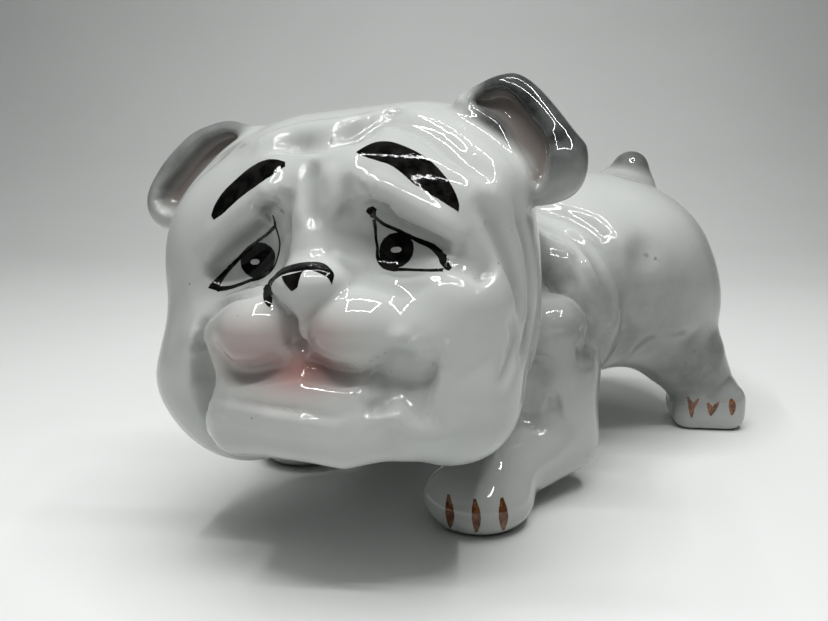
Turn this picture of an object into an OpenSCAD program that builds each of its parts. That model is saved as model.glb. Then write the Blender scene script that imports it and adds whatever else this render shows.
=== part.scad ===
// Slip-cast porcelain bulldog in a play-bow crouch: forearms on the ground, rump up, head turned
// to its left. +X is the dog's left, -Y the way its body faces, +Z up, and the paws stand on Z = 0.
// The hollow castings, ears, legs and tail are luted together, and each fired enamel mark is a thin
// film that lies on the glaze.

/* [Body] */
// Length between the centres of the fore and hind paws
wheelbase = 113; // [105:1:120]
// Distance between the centres of the two fore paws
stance = 71; // [66:1:76]
// Height of the highest point of the rump above the ground
rump_top = 80; // [77:1:84]
// Half the width of the rump
rump_half_width = 41; // [38:1:43]

/* [Head] */
// Half the width of the head across the cheeks
head_half_width = 44; // [42:1:46]
// How far the head is turned to its left, in degrees
head_turn = 24; // [18:1:30]
// How far the head is cocked, its left ear up, in degrees
head_roll = 6; // [0:1:9]
// Height of the head's centre above the ground
head_height = 61; // [58:1:64]

/* [Casting] */
// Thickness of the cast wall
wall = 3.5; // [2.5:0.5:4]
// Diameter of the vent hole under the belly
vent_d = 7; // [5:0.5:10]
// Thickness of a fired enamel mark
enamel = 0.4; // [0.3:0.1:0.6]

/* [Hidden] */

// The body's middle plane and the fore paws, placed so that the whole figure is centred on the origin.
mid_x = -6.6;
mid_y = 5.3;
fore_y = -42.5;
hind_y = fore_y + wheelbase;
head_at = [mid_x + 15, mid_y + fore_y - 11.5, head_height];
skull_x = -2.5;
muzzle_x = -0.5;
jaw_x = -2;
splay = 38;
far = 300;

// How much closer in the left cheek sits than the right.
lean = 5;
nape_r = 40;
neck_r = 15;
line_width = 0.7;
iris_d = 8;
iris_x = [-16.7, 14.7];
catchlight_d = 1.6;
claw_pitch = 6;
claw_z = 7;

porcelain = "gainsboro";
black = "#161616";
brown = "#6b3413";

// ---------- Helpers ----------

// An ellipsoid with its centre, its three radii and its tilt.
module egg(at, r, tilt = [0, 0, 0], fn = 36)
    translate(at) rotate(tilt) scale(r) sphere(r = 1, $fn = fn);

// The same form on the dog's left and right.
module both_sides() {
    children();
    mirror([1, 0, 0]) children();
}

// Blended free forms meet as one mesh.
module one_skin() resize([0, 0, 0]) union() children();

module on_body() translate([mid_x, mid_y, 0]) children();

module on_head()
    translate(head_at) rotate([0, 0, head_turn]) rotate([0, -head_roll, 0]) children();

module side(s) mirror([s < 0 ? 1 : 0, 0, 0]) children();

module above_ground() intersection() {
    children();
    translate([-far / 2, -far / 2, 0]) cube(far);
}

// ---------- Forms, each grown by g ----------

module skull_form(g = 0, fn = 36) difference() {
    w = head_half_width;
    translate([skull_x, 0, 0]) {
        hull() {
            both_sides() egg([11, 4, 10], [w - 12 + g, 34 + g, 28.5 + g], fn = fn);
            for (x = [15 - w, w - 15 - lean]) egg([x, -12, 3], [17 + g, 17 + g, 20 + g], fn = fn);
        }
        hull() for (x = [24 - w, w - 24 - lean]) egg([x, 2, -13], [23 + g, 26 + g, 22 + g], fn = fn);
    }
    nape_hollow(g);
}

// The skull draws in behind the left cheek, below the ear, to meet the neck.
module nape_hollow(g = 0) hull() for (z = [-60, -6])
    egg([head_half_width + 23, 33, z], [nape_r - g, nape_r - g, nape_r - g], fn = 48);

module cheek_form(g = 0, fn = 26) for (x = [-25, 25 - lean])
    egg([skull_x + x, -19, -18], [20 + g, 18 + g, 21 + g], fn = fn);

// The pads of the upper lip and the undershot jaw.
module muzzle_form(g = 0, fn = 26) {
    translate([muzzle_x, 0, 0]) both_sides()
        egg([11, -34, -5.5], [12 + g, 12.5 + g, 9.5 + g], fn = fn);
    translate([jaw_x, 0, 0]) hull() both_sides() {
        egg([9, -35, -20], [11 + g, 12.5 + g, 5 + g], fn = fn);
        egg([11, -32, -27], [10 + g, 13 + g, 6.5 + g], fn = fn);
    }
}

// The brow ridges, the bridge and button of the nose, and the lower lip.
module feature_form(g = 0, fn = 24) {
    both_sides() hull() {
        egg([11, -24, 21], [6 + g, 7 + g, 6.5 + g], fn = fn);
        egg([27, -18, 14], [5 + g, 8 + g, 6 + g], fn = fn);
    }
    hull() {
        egg([0, -22, 24], [6 + g, 7 + g, 6 + g], fn = fn);
        egg([muzzle_x, -31, 5], [8 + g, 6 + g, 6 + g], fn = fn);
    }
    egg([muzzle_x, -38, 3], [7.5 + g, 6.5 + g, 5 + g], fn = fn);
    translate([jaw_x, 0, 0]) hull() both_sides()
        egg([11, -42.5, -18.5], [6.5 + g, 5.5 + g, 3 + g], fn = fn);
}

module head_form(g = 0) on_head() {
    skull_form(g);
    cheek_form(g);
    muzzle_form(g);
    feature_form(g);
}

module torso_form(g = 0, fn = 32) on_body() {
    rump_r = 33 + g;
    hull() {
        egg([0, -20, 36], [32 + g, 25 + g, 24 + g], fn = fn);
        egg([0, 12, 42], [31 + g, 36 + g, 26 + g], fn = fn);
    }
    hull() {
        egg([0, 12, 42], [31 + g, 36 + g, 26 + g], fn = fn);
        egg([0, 51, rump_top - 33], [rump_half_width + g, 42 + g, rump_r], fn = fn);
    }
}

// The rolls of loose skin between the neck and the shoulder.
module neck_rolls() on_body() for (i = [0:2])
    egg([0, 6 + 8 * i, 44], [35 - i / 2, 3, 31 - i], tilt = [26, 0, 0], fn = 24);

// A folded ear: a shallow cup that opens forward, with its tip bent down.
module ear_form(drop = 0, flare = 0) translate([flare / 2, 0, -drop]) difference() {
    hull() {
        egg([35, -1, 36], [5.5, 5, 5.5], fn = 24);
        egg([46.5 + flare / 2, -5.5, 25], [5, 5, 5.5], fn = 24);
        egg([41.5, -8, 18], [4, 4, 4.5], fn = 24);
        egg([27, 2, 30], [6, 5, 8], fn = 24);
    }
    egg([40, -11, 27], [6, 8, 10], tilt = [0, 35, 0], fn = 24);
}

module paw_form(g = 0, fn = 28) egg([0, 0, 6.5], [13.5 + g, 13.5 + g, 8.5 + g], fn = fn);

fore_paw_at = [stance / 2 - 2.5, fore_y + 3.5, 0];

module foreleg_form(g = 0) {
    x = stance / 2;
    translate(fore_paw_at) rotate([0, 0, splay]) paw_form(g);
    hull() {
        egg([x - 1, fore_y + 10, 10], [9, 9, 8], fn = 24);
        egg([x - 1, fore_y + 38, 14], [8, 9, 11], fn = 24);
    }
    hull() {
        egg([x - 1, fore_y + 38, 16], [8, 9, 11], fn = 24);
        egg([x - 4, fore_y + 33, 38], [11, 15, 16], fn = 28);
    }
}

module hind_leg_form(g = 0) {
    x = stance / 2;
    translate([x, hind_y, 0]) rotate([0, 0, splay]) paw_form(g);
    hull() {
        egg([x - 1, hind_y + 4, 12], [9, 10, 8], fn = 24);
        egg([x - 8, hind_y - 12, 36], [13, 22, 18], fn = 28);
    }
}

// ---------- Castings ----------

module head_casting() color(porcelain) one_skin() difference() {
    head_form();
    on_head() {
        skull_form(-wall, 18);
        cheek_form(-wall, 18);
    }
    neck_opening();
}

// The passage that joins the hollows of the head and the torso.
module neck_opening() on_body()
    translate([4, -30, 46]) rotate([90, 0, 8]) cylinder(r = neck_r, h = 60, center = true, $fn = 40);

module torso_casting() color(porcelain) one_skin() difference() {
    union() {
        torso_form();
        neck_rolls();
    }
    head_form();
    torso_form(-wall, 20);
    on_body() translate([0, 12, 0]) cylinder(d = vent_d, h = 30, $fn = 24);
}

module ear(s) color(porcelain) one_skin() difference() {
    on_head() side(s) if (s > 0) ear_form();
    else ear_form(drop = 2.5, flare = 5);
    head_form();
}

module foreleg(s) color(porcelain) one_skin() difference() {
    above_ground() on_body() side(s) foreleg_form();
    torso_form();
    neck_rolls();
    head_form();
}

module hind_leg(s) color(porcelain) one_skin() difference() {
    above_ground() on_body() side(s) hind_leg_form();
    torso_form();
}

module tail() color(porcelain) one_skin() difference() {
    on_body() hull() {
        egg([0, hind_y + 5, rump_top - 5], [8, 9, 6], fn = 24);
        egg([0, hind_y + 8, rump_top + 2.5], [5, 5, 3.5], fn = 24);
    }
    torso_form();
}

// ---------- Fired enamel ----------

// The part of a film of enamel on the face that an outline in the head's XZ plane covers.
module face_film(tint = black) color(tint) one_skin() intersection() {
    difference() {
        head_form(enamel);
        head_form();
    }
    on_head() rotate([90, 0, 0]) linear_extrude(80) children();
}

// Each brow is drawn as a tapering crescent.
module brow_shape(s) hull_chain(s > 0
    ? [[11, 27.5, 1], [16, 27.5, 3.6], [22, 23.6, 5.4], [26, 19, 4], [28.5, 15, 0.8]]
    : [[6, 27.3, 1.6], [13, 25.7, 3.6], [20.5, 21.8, 3.6], [26.5, 17.8, 1.6]]);

// Circles [x, y, diameter], each joined to the next.
module hull_chain(c) for (i = [1 : len(c) - 1]) hull() for (p = [c[i - 1], c[i]])
    translate([p.x, p.y]) circle(d = p.z, $fn = 16);

// A drooping eye: a tall inner corner, an outer corner drawn down.
module eye_shape() polygon([
    [10.6, 17], [10.4, 12], [10.6, 6.6], [12, 5],
    [15.5, 4.1], [26, 3.2], [23.5, 7], [20, 10],
]);

module eye_opening() offset(delta = -line_width) eye_shape();

module brow(s) face_film() side(s) brow_shape(s);

module eye_line(s) face_film() side(s) difference() {
    eye_shape();
    eye_opening();
}

module iris(s) face_film() intersection() {
    difference() {
        translate([s < 0 ? iris_x[0] : iris_x[1], 7.8]) circle(d = iris_d, $fn = 32);
        catchlight_shape(s);
    }
    side(s) eye_opening();
}

module catchlight_shape(s)
    translate([(s < 0 ? iris_x[0] : iris_x[1]) - 0.3, 7.7]) scale([1, 0.7])
        circle(d = catchlight_d, $fn = 20);

module catchlight(s) face_film("white") catchlight_shape(s);

module nose_enamel() face_film() translate([muzzle_x, 0]) difference() {
    translate([0, 2.5]) scale([1, 0.75]) circle(r = 7.8, $fn = 40);
    translate([1, 0]) scale([1, 0.9]) circle(r = 6.6, $fn = 40);
}

// Three brush strokes down the front of a paw.
module claws(at, turn, s, stroke) color(brown) one_skin() intersection() {
    difference() {
        on_body() side(s) translate(at) rotate([0, 0, turn]) paw_form(enamel);
        on_body() side(s) translate(at) rotate([0, 0, turn]) paw_form();
    }
    on_body() side(s) translate(at) rotate([0, 0, turn]) for (i = [-1:1])
        translate([i * claw_pitch, 0, 0]) rotate([90, 0, 0]) linear_extrude(40)
            translate([0, claw_z]) scale(stroke) circle(r = 1, $fn = 24);
}

module fore_claws(s) claws(fore_paw_at, splay, s, [1, 4.6]);
module hind_claws(s) claws([stance / 2, hind_y, 0], splay, s, [1, 3]);

// ---------- Nodes ----------

head_casting();
torso_casting();
ear(1);  // ear_left
ear(-1);  // ear_right
foreleg(1);  // foreleg_left
foreleg(-1);  // foreleg_right
hind_leg(1);  // hind_leg_left
hind_leg(-1);  // hind_leg_right
tail();
brow(1);  // brow_left
brow(-1);  // brow_right
eye_line(1);  // eye_line_left
eye_line(-1);  // eye_line_right
iris(1);  // iris_left
iris(-1);  // iris_right
catchlight(1);  // catchlight_left
catchlight(-1);  // catchlight_right
nose_enamel();
fore_claws(1);  // claws_foreleg_left
fore_claws(-1);  // claws_foreleg_right
hind_claws(1);  // claws_hind_leg_left
hind_claws(-1);  // claws_hind_leg_right
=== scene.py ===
import math

import bpy
import numpy as np
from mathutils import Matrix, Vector


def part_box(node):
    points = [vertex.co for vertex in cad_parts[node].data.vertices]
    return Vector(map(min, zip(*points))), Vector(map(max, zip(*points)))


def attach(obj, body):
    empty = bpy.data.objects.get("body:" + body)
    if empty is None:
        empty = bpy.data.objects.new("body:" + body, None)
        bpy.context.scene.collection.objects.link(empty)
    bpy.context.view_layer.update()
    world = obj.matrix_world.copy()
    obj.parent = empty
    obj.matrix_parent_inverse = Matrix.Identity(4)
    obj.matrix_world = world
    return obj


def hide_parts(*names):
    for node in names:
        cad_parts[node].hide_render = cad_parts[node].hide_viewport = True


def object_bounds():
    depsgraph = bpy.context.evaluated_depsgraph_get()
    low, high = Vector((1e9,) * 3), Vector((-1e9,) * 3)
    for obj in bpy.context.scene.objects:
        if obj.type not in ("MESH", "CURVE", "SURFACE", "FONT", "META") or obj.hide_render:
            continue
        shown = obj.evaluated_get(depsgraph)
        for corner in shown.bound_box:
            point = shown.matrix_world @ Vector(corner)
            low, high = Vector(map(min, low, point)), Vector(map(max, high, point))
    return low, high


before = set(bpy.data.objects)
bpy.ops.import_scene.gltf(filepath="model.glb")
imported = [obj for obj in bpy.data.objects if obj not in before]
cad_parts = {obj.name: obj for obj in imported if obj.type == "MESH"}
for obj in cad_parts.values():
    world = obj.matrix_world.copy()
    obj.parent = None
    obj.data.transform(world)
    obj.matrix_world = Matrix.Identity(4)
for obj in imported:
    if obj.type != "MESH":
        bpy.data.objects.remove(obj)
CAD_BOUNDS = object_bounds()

MM = 0.001
CELL = 0.86  # pitch of the skin's mesh
FILM = 0.12  # how far an enamel mark stands on the glaze
HEAD_TURN, HEAD_ROLL = 24.0, 6.0
SPLAY = 38.0  # how far each paw turns out
RUMP_END = 84.5  # the hind legs' rear edge in the body frame
WALL = 1.1  # thickness of a casting's shell
CAMERA_TURN, CAMERA_DIP = 44.0, 11.28  # the way the camera looks, in degrees


def corner(node, i):
    return np.array(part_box(node)[i]) / MM


BODY = np.array([
    (corner("hind_leg_left", 1)[0] + corner("hind_leg_right", 0)[0]) / 2,
    corner("hind_leg_left", 1)[1] - RUMP_END,
    0.0,
])
HEAD = BODY + [15.0, -54.0, 61.0]


def turn(axis, degrees):
    """The rotation matrix about an axis, 0 to 2."""
    c, s = math.cos(math.radians(degrees)), math.sin(math.radians(degrees))
    m = np.eye(3)
    i, j = (axis + 1) % 3, (axis + 2) % 3
    m[i, i] = m[j, j] = c
    m[i, j], m[j, i] = -s, s
    return m


HEAD_AXES = turn(2, HEAD_TURN) @ turn(1, -HEAD_ROLL)


def to_head(p):
    return (p - HEAD) @ HEAD_AXES


def from_head(p):
    return p @ HEAD_AXES.T + HEAD


def to_body(p):
    return p - BODY


# ---------- Fields: the distance to a form, negative inside ----------

def size(v):
    return np.sqrt(np.einsum("ij,ij->i", v, v))


def unit(v):
    return v / np.maximum(size(v), 1e-9)[:, None]


def blob(p, at, r, long=0.0, tilt=None):
    """An ellipsoid, drawn out along x by long each way."""
    q = p - at
    if tilt is not None:
        q = q @ tilt
    if long:
        q[:, 0] -= np.clip(q[:, 0], -long, long)
    u = q / r
    k = size(u)
    return k * (k - 1) / np.maximum(size(u / r), 1e-6)


def limb(p, a, b, ra, rb):
    """A rod from a to b with round ends, tapering from ra to rb."""
    a, b = np.array(a, float), np.array(b, float)
    q = p - a
    t = np.clip(q @ (b - a) / ((b - a) @ (b - a)), 0, 1)
    return size(q - t[:, None] * (b - a)) - (ra + (rb - ra) * t)


def chain(p, points, radii):
    """Rods end to end through the points, with a radius at each."""
    return np.min([limb(p, *ends) for ends in zip(points, points[1:], radii, radii[1:])], axis=0)


def melt(a, b, k):
    """The union of two fields with a fillet of about k."""
    h = np.maximum(k - np.abs(a - b), 0) / k
    return np.minimum(a, b) - h * h * k / 4


def carve(a, b, k):
    """Field a without b, with a soft edge."""
    return -melt(-a, b, k)


def mirrored(p, x):
    q = p.copy()
    q[:, 0] = np.abs(q[:, 0] - x)
    return q


def outline_distance(q, outline):
    """The signed distance from 2-D points to a closed outline."""
    best = np.full(len(q), 1e9)
    inside = np.zeros(len(q), bool)
    for a, b in zip(outline, np.roll(outline, -1, axis=0)):
        e, w = b - a, q - a
        t = np.clip(w @ e / (e @ e), 0, 1)
        v = w - t[:, None] * e
        best = np.minimum(best, np.einsum("ij,ij->i", v, v))
        crosses = (a[1] > q[:, 1]) != (b[1] > q[:, 1])
        drop = b[1] - a[1] if b[1] != a[1] else 1e-9
        inside ^= crosses & (q[:, 0] < e[0] * w[:, 1] / drop + a[0])
    return np.where(inside, -1, 1) * np.sqrt(best)


def plate(p, outline, middle, half, rounding):
    """A flat form with an outline in x and z, half thick each way from its middle surface."""
    d = outline.distance(p[:, [0, 2]]) + rounding
    e = np.abs(p[:, 1] - middle) - (half - rounding)
    return np.minimum(np.maximum(d, e), 0) + np.hypot(np.maximum(d, 0), np.maximum(e, 0)) - rounding


def within(p, lo, hi, field, far=12.0):
    """A field worked out only near its box."""
    lo, hi = np.array(lo, float), np.array(hi, float)
    gap = size(np.maximum(np.maximum(lo - p, p - hi), 0))
    d = gap + 4.0
    near = gap < far
    if near.any():
        d[near] = field(p[near])
    return d


# ---------- Folds: soft furrows and ridges along lines that lie on the skin ----------

def spline(points, pitch=2.0, closed=False):
    """A smooth curve through the points."""
    p = np.array(points, float)
    n = len(p)
    if closed:
        q = np.vstack([p[-1:], p, p[:2]])
    else:
        q = np.vstack([2 * p[0] - p[1], p, 2 * p[-1] - p[-2]])
    out = []
    for i in range(n if closed else n - 1):
        a, b, c, d = q[i:i + 4]
        steps = max(2, int(np.linalg.norm(c - b) / pitch + 0.5))
        for t in np.arange(steps) / steps:
            out.append(0.5 * (2 * b + (c - a) * t + (2 * a - 5 * b + 4 * c - d) * t * t
                              + (3 * b - a - 3 * c + d) * t ** 3))
    if not closed:
        out.append(p[-1])
    return np.array(out)


class Outline:
    """A closed smooth outline whose distances are read from a fine grid."""

    def __init__(self, points, margin=18.0, pitch=0.5):
        self.line = spline(points, 1.5, closed=True)
        self.lo, self.pitch = self.line.min(0) - margin, pitch
        self.shape = np.ceil((self.line.max(0) + margin - self.lo) / pitch).astype(int) + 1
        x, z = np.meshgrid(*[np.arange(n) * pitch for n in self.shape], indexing="ij")
        q = np.stack([x.ravel(), z.ravel()], 1) + self.lo
        self.grid = outline_distance(q, self.line).reshape(self.shape)

    def distance(self, q):
        u = np.clip((q - self.lo) / self.pitch, 0, self.shape - 1.001)
        i = u.astype(int)
        f = u - i
        a, b = i[:, 0], i[:, 1]
        low = self.grid[a, b] * (1 - f[:, 0]) + self.grid[a + 1, b] * f[:, 0]
        high = self.grid[a, b + 1] * (1 - f[:, 0]) + self.grid[a + 1, b + 1] * f[:, 0]
        return low * (1 - f[:, 1]) + high * f[:, 1]


def gradient(field, p, step=0.04):
    g = np.zeros_like(p)
    for v in np.array([[1, -1, -1], [-1, -1, 1], [-1, 1, -1], [1, 1, 1]], float):
        g += v * field(p + step * v)[:, None]
    return g / (4 * step)


def settle(field, p, rounds=3, reach=3.0):
    """Moves points onto the field's surface."""
    for _ in range(rounds):
        g = gradient(field, p)
        step = g * (field(p) / np.maximum(np.einsum("ij,ij->i", g, g), 0.1))[:, None]
        far = np.maximum(size(step) / reach, 1)
        p = p - step / far[:, None]
    return p


class Fold:
    """A furrow (depth above 0) or ridge (below 0) of a width along a line on the skin."""

    def __init__(self, field, depth, width, points, ends=0.3):
        forward = np.array(points, float) * [1, -1, 1]
        self.line = settle(field, spline(forward, 3.0), 4)
        self.depth, self.width, self.ends = depth, width, ends
        reach = width * 2.4
        self.lo, self.hi = self.line.min(0) - reach, self.line.max(0) + reach

    def shape(self, p, d):
        """Adds the fold to the field's values d at the points p."""
        near = np.all((p > self.lo) & (p < self.hi), axis=1)
        if not near.any():
            return
        q = p[near]
        best = np.full(len(q), 1e9)
        along = np.zeros(len(q))
        last = len(self.line) - 1
        for i, (a, b) in enumerate(zip(self.line, self.line[1:])):
            e = b - a
            t = np.clip((q - a) @ e / max(e @ e, 1e-9), 0, 1)
            v = q - a - t[:, None] * e
            gap = np.einsum("ij,ij->i", v, v)
            closer = gap < best
            best = np.where(closer, gap, best)
            along = np.where(closer, (i + t) / last, along)
        fade = np.clip(np.minimum(along, 1 - along) / self.ends, 0, 1)
        fade = fade * fade * (3 - 2 * fade)
        d[near] += self.depth * fade * np.exp(-best / self.width ** 2)


# ---------- The head ----------

SKULL_X, PADS_X, JAW_X, EYES_X = -2.5, -1.8, -5.0, -1.0

# The lip's front edge, and the back of the ledge above it, from the dog's right to its left
LIP = [(-23, -40, -19.5), (-17, -43.5, -19.6), (-8, -46, -20.2), (0, -46.3, -21.2), (6, -45, -22.6),
       (9.5, -43, -21.8), (12.4, -40.5, -18.8)]
LEDGE = [(-22, -36, -15.6), (-17, -38, -15.2), (-9, -39.5, -15), (-2, -40.5, -15), (4, -40, -16),
         (8, -39, -16.5), (11.5, -38, -16.6)]


def block(p, at, half, rounding):
    """A box with rounded edges."""
    q = np.abs(p - np.array(at)) - np.array(half) + rounding
    return size(np.maximum(q, 0)) + np.minimum(q.max(1), 0) - rounding


def drawn_in(p):
    """Below the ear, the left side of the head sits closer in than the right, which swells at the jowl."""
    q = p.copy()
    t = np.clip((24 - p[:, 2]) / 14, 0, 1)
    beyond = np.maximum(p[:, 0] - 10, 0)
    q[:, 0] += beyond * 0.19 * t * t * (3 - 2 * t)
    temple, jowl = np.exp(-((p[:, 2] - 6) / 13) ** 2), np.exp(-((p[:, 2] + 19) / 9) ** 2)
    q[:, 0] += np.minimum(p[:, 0] + 25, 0) * (0.09 * temple - 0.06 * jowl)
    return q


def cranium(p):
    p = drawn_in(p)
    d = melt(blob(p, (SKULL_X, 4, 10), (32, 34, 28.5), long=11),
             blob(p, (SKULL_X, -12, 3), (17, 17, 20), long=29), 14)
    d = melt(d, blob(p, (SKULL_X, 2, -13), (23, 26, 22), long=20), 12)
    return melt(d, blob(mirrored(p, SKULL_X), (25, -19, -18), (20, 18, 21)), 7)


def nape(p):
    """What is cut away behind the left cheek, below the ear."""
    return limb(p, (67, 33, -60), (67, 33, -6), 40, 40)


def muzzle(p):
    """The pads of the upper lip with the flews beside them."""
    pads = mirrored(p, PADS_X)
    flew = blob(pads, (19, -28, -9.8), (13.5, 12, 9.2))
    return melt(blob(pads, (10.5, -34, -6), (10.6, 11.6, 8.8)), flew, 5)


def jaw(p):
    """The undershot jaw: a blunt block with a ledge that slopes down to the lip's front edge."""
    d = block(p, (JAW_X, -32, -25), (18.5, 13, 5.6), 5.0)
    d = melt(d, block(p, (JAW_X, -30, -22), (17.5, 10, 6), 4.0), 3)
    for drop, back, r in ((5.4, 2.4, 4.3), (2.6, 1.2, 2.7)):
        d = melt(d, chain(p, np.array(LIP) + [0, back, -drop], [r] * len(LIP)), 3)
    for back, r, k in ((1.0, 2.4, 5), (0.66, 2.2, 3), (0.33, 1.8, 3), (-0.12, 1.2, 1.2)):
        line = back * np.array(LEDGE, float) + (1 - back) * np.array(LIP, float)
        d = melt(d, chain(p, line, [r] * len(LIP)), k)
    return d


POCKET = [(-26.5, -35, -5.5), (-26.2, -36, -11), (-26, -36, -17), (-26, -36, -23), (-28, -34.5, -30)]


def pocket(p):
    """The deep crease between the right flew and the jaw."""
    return chain(p, POCKET, [1.6, 4.0, 5.0, 4.0, 1.4])


def head_form(p):
    """The head without its folds and ears."""
    d = carve(cranium(p), nape(p), 5)
    eyes = mirrored(p, EYES_X)
    # the brows, and the bridge of the nose between them
    d = melt(d, limb(eyes, (9.5, -24.5, 21.5), (29, -18.5, 13), 6.8, 6.0), 6)
    d = melt(d, limb(p, (0, -22, 24), (0, -31, 6), 6.0, 6.5), 6)
    # the jaw, the left jowl that hangs beside it, and what joins them below and above the lip
    d = melt(d, jaw(p), 5)
    d = melt(d, limb(p, (6, -35, -24.5), (27, -26, -25.5), 6.0, 7.5), 8)
    d = melt(d, blob(p, (15.5, -33, -27.2), (7.5, 6.5, 5.2)), 5)
    d = melt(d, blob(p, (PADS_X, -33, -12), (10, 6.5, 8)), 3)
    # the eye sockets, the left cheek, the muzzle and the nose
    d = carve(d, blob(eyes, (17, -34, 8.5), (12.5, 8.2, 6.6), tilt=turn(1, 28)), 5)
    d = melt(d, blob(p, (25.5, -22.5, -4), (11, 13, 9.6)), 6)
    d = melt(d, muzzle(p), 4)
    d = melt(d, limb(p, (0.2, -39.5, 1), (-1.2, -41, -6), 3.4, 1.2), 2)
    d = melt(d, blob(p, (0.4, -38, 3.5), (7.8, 6.3, 4.5)), 3)
    return carve(d, pocket(p), 2.5)


# Each line: its depth, its width, and its points as x, how far forward, and z
HEAD_LINES = [
    # the crescent above the brows, the cap over it and the notch in the cap
    (3.8, 2.8, [(-15.5, 22, 30.5), (-10.5, 20.5, 30.5), (-6, 20.5, 29.5), (0.5, 23, 29), (4.5, 20, 30),
                (6.5, 15.5, 31.5), (10, 12, 33), (15, 13, 32), (22, 15.5, 28.5), (28.5, 19.5, 24),
                (33.5, 20.5, 20.5), (36, 20, 19)]),
    (-2.8, 3.2, [(-25.5, 16, 31.5), (-16.5, 19, 33.5), (-8.5, 16.5, 35.5), (2, 16, 35.5), (6.5, 12.5, 34),
                 (10, 12.5, 32.5)]),
    (1.8, 2, [(10, 12, 33), (10.5, 9, 35), (9, 7, 37)]),
    # the folds that sweep round the left side of the face
    (3.8, 2.3, [(31, 25.5, 18), (33.5, 22.5, 12.5), (35.5, 19.5, 3), (37.5, 18.5, -10)]),
    (2.2, 1.8, [(36.5, 19, 17.5), (37, 15, 12.5), (37.5, 11, -4), (36.5, 13.5, -12), (37, 24, -18)]),
    (1.3, 1.6, [(36.5, 26, -4.5), (36.5, 22.5, -10), (36, 23, -13.5), (34.5, 31, -21)]),
    (2.6, 2.8, [(26.5, 28, 7.5), (29, 28, 4.5), (32, 27.5, 2.5), (35, 27.5, 0.5)]),
    # the upright wrinkles between the brows
    (2, 1.5, [(-0.5, 27.5, 28), (0, 31, 20.5), (1, 35, 13.5)]),
    (1.5, 1.6, [(-5, 31, 22.5), (-6, 30.5, 17), (-7, 30.5, 11)]),
    (0.9, 1.5, [(8.5, 31, 24.5), (7.5, 31, 19), (6.5, 29.5, 14)]),
    (-0.7, 1.7, [(-3, 27.5, 27.5), (-2, 32, 20.5), (-2, 35, 13.5)]),
    (-0.7, 1.8, [(3.5, 28.5, 27), (5, 33, 20), (4, 32.5, 13.5)]),
    # the pocket under each brow's inner end, and the furrow above each lid
    (2.4, 3, [(14, 31.5, 19), (13.5, 27.5, 16.5), (17, 29.5, 15)]),
    (2.4, 3, [(-7.5, 32, 20), (-11, 29, 18.5), (-12.5, 31, 16.5)]),
    (2.8, 1.8, [(11.5, 28.5, 17), (13, 26.5, 15), (19, 25.5, 11.5), (22.5, 26.5, 10), (26, 28, 7.5),
                (27.5, 28.5, 5)]),
    (2.8, 1.8, [(-10, 29, 18), (-13.5, 27.5, 15), (-17, 25.5, 13), (-24.5, 26, 8), (-27, 27, 5.5),
                (-28, 29.5, 3.5)]),
    # the crests of the brows, and the rims of the lower lids
    (-2, 2.4, [(11, 31.5, 20.5), (14.5, 32, 21.5), (27, 30, 12), (30, 27.5, 8)]),
    (-2, 2.4, [(-6, 31, 21.5), (-8.5, 33, 22.5), (-13.5, 33, 19.5), (-25, 31, 11.5), (-28.5, 30, 8.5)]),
    (-0.7, 1.5, [(12, 29.5, 4.5), (15.5, 32, 3), (26, 33, 2.5)]),
    (-0.7, 1.5, [(-10.5, 34, 3.5), (-14, 36.5, 2.5), (-26, 31, 0.5)]),
    (-0.7, 1.5, [(4, 35, 9), (7, 32.5, 7), (10.5, 30, 5)]),
    # the edge of the right flew, and the cleft below the nose
    (1.3, 1.8, [(-10, 37.5, 2), (-13.5, 37.5, 1.5), (-18, 36, 0.5), (-24.5, 34, -2), (-28.5, 35.5, -5.5)]),
    (2, 1.8, [(-0.5, 43, -1), (-3.5, 39, -6.5), (-3.5, 40.5, -9.5)]),
    # the lower edges of the pads, and the line of the mouth
    (1.4, 2, [(-2, 40, -11), (0.5, 39.5, -13), (4, 40.5, -14), (8, 40.5, -14.5), (12, 39.5, -14.5)]),
    (1.2, 2.2, [(-5, 41.5, -10), (-8.5, 41.5, -12), (-12, 41, -13), (-17, 40.5, -12), (-19, 41.5, -9),
                (-23.5, 40, -6.5)]),
    (1.2, 1.3, [(-22, 41, -15), (-16, 41, -14.5), (-10, 41.5, -14.5), (-3, 42, -14), (3, 41.5, -15),
                (8.5, 41.5, -15.5), (11.5, 40.5, -16)]),
    # the left mouth corner, the ridge beside it, and the hollow of the jowl
    (2.6, 3, [(13, 41, -12), (12.5, 39.5, -16.5), (13.5, 40.5, -20), (15, 43, -22.5)]),
    (-1.3, 2.2, [(14, 39, -12.5), (15, 38, -17), (17, 40.5, -21), (19, 41.5, -24.5), (22, 40, -27),
                 (25.5, 37.5, -27), (28.5, 36, -24)]),
    (2.4, 5.5, [(16.5, 42, -8), (17.5, 38, -11.5), (22.5, 35.5, -16.5), (25, 37, -17.5)]),
    (-0.8, 2, [(17, 42, -5.5), (21, 40, -9), (23, 36.5, -13)]),
]
HEAD_FOLDS = [Fold(head_form, *line) for line in HEAD_LINES]
HEAD_FOLDS += [Fold(head_form, *line) for line in [
    # the folds round the right side of the face, which mirror the left
    (2.0, 2.6, [(-25, 14, 31), (-33.5, 14.3, 26), (-39.5, 17, 17.9), (-42.8, 20, 8.2), (-42.7, 20, -3.8)]),
    (1.2, 2.0, [(-33, 6, 30), (-41, 8, 21), (-45, 10, 10), (-46, 10, -3)]),
]]


def head(p):
    d = head_form(p)
    for fold in HEAD_FOLDS:
        fold.shape(p, d)
    return d


# ---------- The ears ----------

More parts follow.
